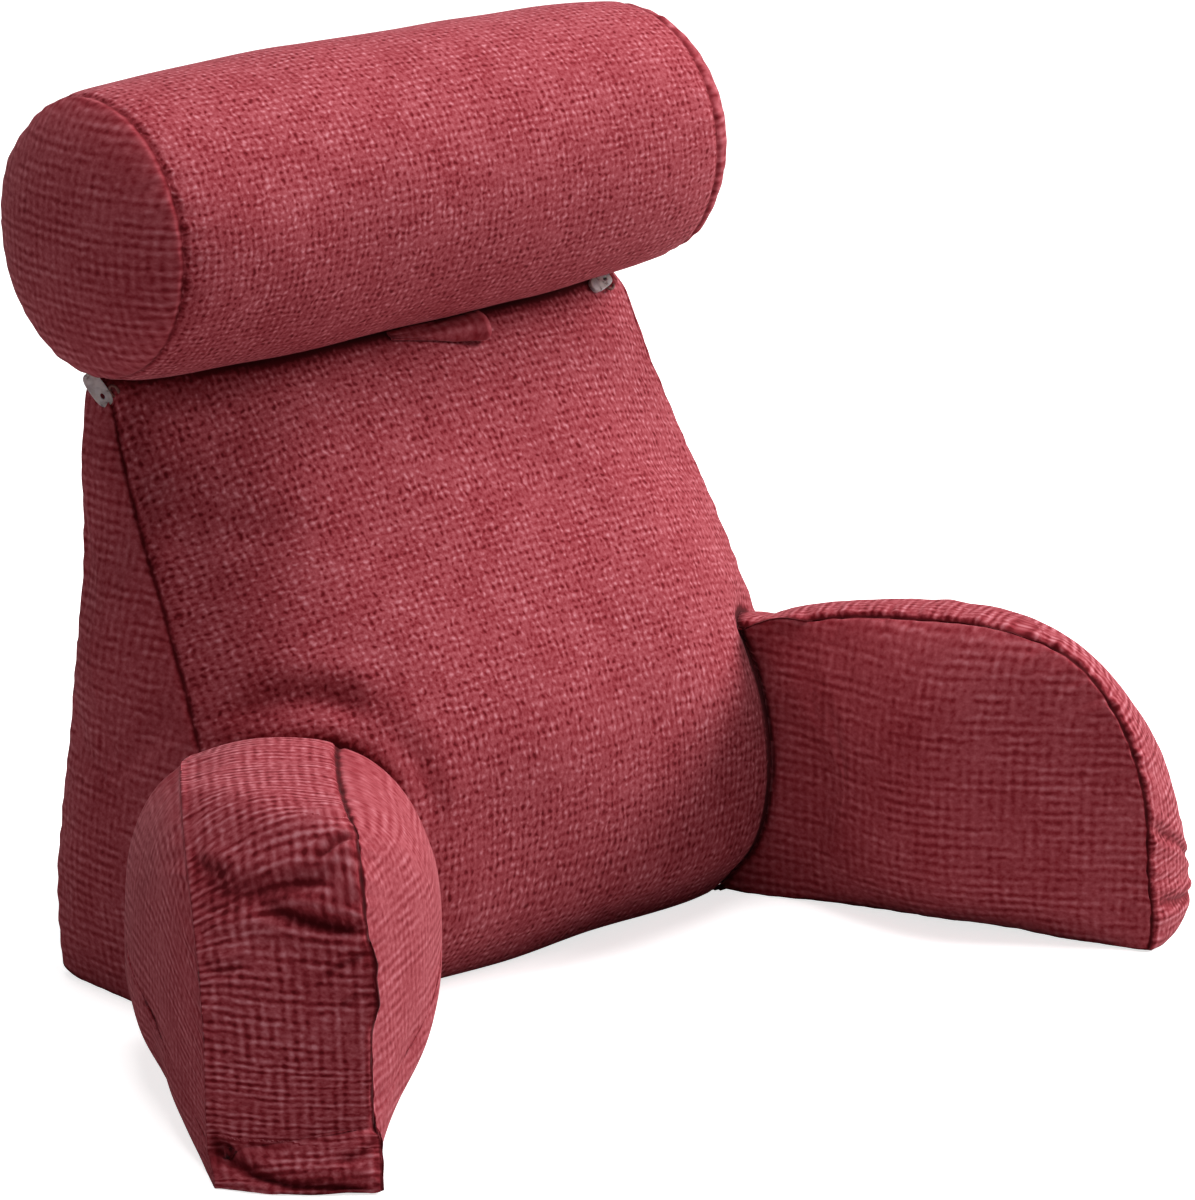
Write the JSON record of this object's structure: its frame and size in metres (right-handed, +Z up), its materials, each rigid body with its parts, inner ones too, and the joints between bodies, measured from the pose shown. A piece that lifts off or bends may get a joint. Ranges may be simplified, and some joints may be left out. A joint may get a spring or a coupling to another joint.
{
  "type": "reading pillow with arms and neck roll",
  "caption": "Wedge-shaped backrest cushion with two splayed padded arms and a bolster neck roll resting on top, in coarse woven upholstery cloth.",
  "frame": {"origin": "middle of the flat underside of the back cushion, on the floor", "axes": "+X to the right as seen from the front, along the whole width; +Y to the back, so the pillow faces -Y; +Z up"},
  "size_m": [0.7102, 0.4591, 0.5238],
  "materials": {
    "woven_cloth": "matte",
    "clasp_plastic": "satin"
  },
  "bodies": {
    "root": {"back_cushion": "woven_cloth", "arm_left": "woven_cloth", "arm_right": "woven_cloth", "neck_roll": "woven_cloth", "centre_strap": "woven_cloth", "clasp_left": "clasp_plastic", "clasp_right": "clasp_plastic", "clasp_tab_left": "woven_cloth", "clasp_tab_right": "woven_cloth"}
  },
  "joints": []
}
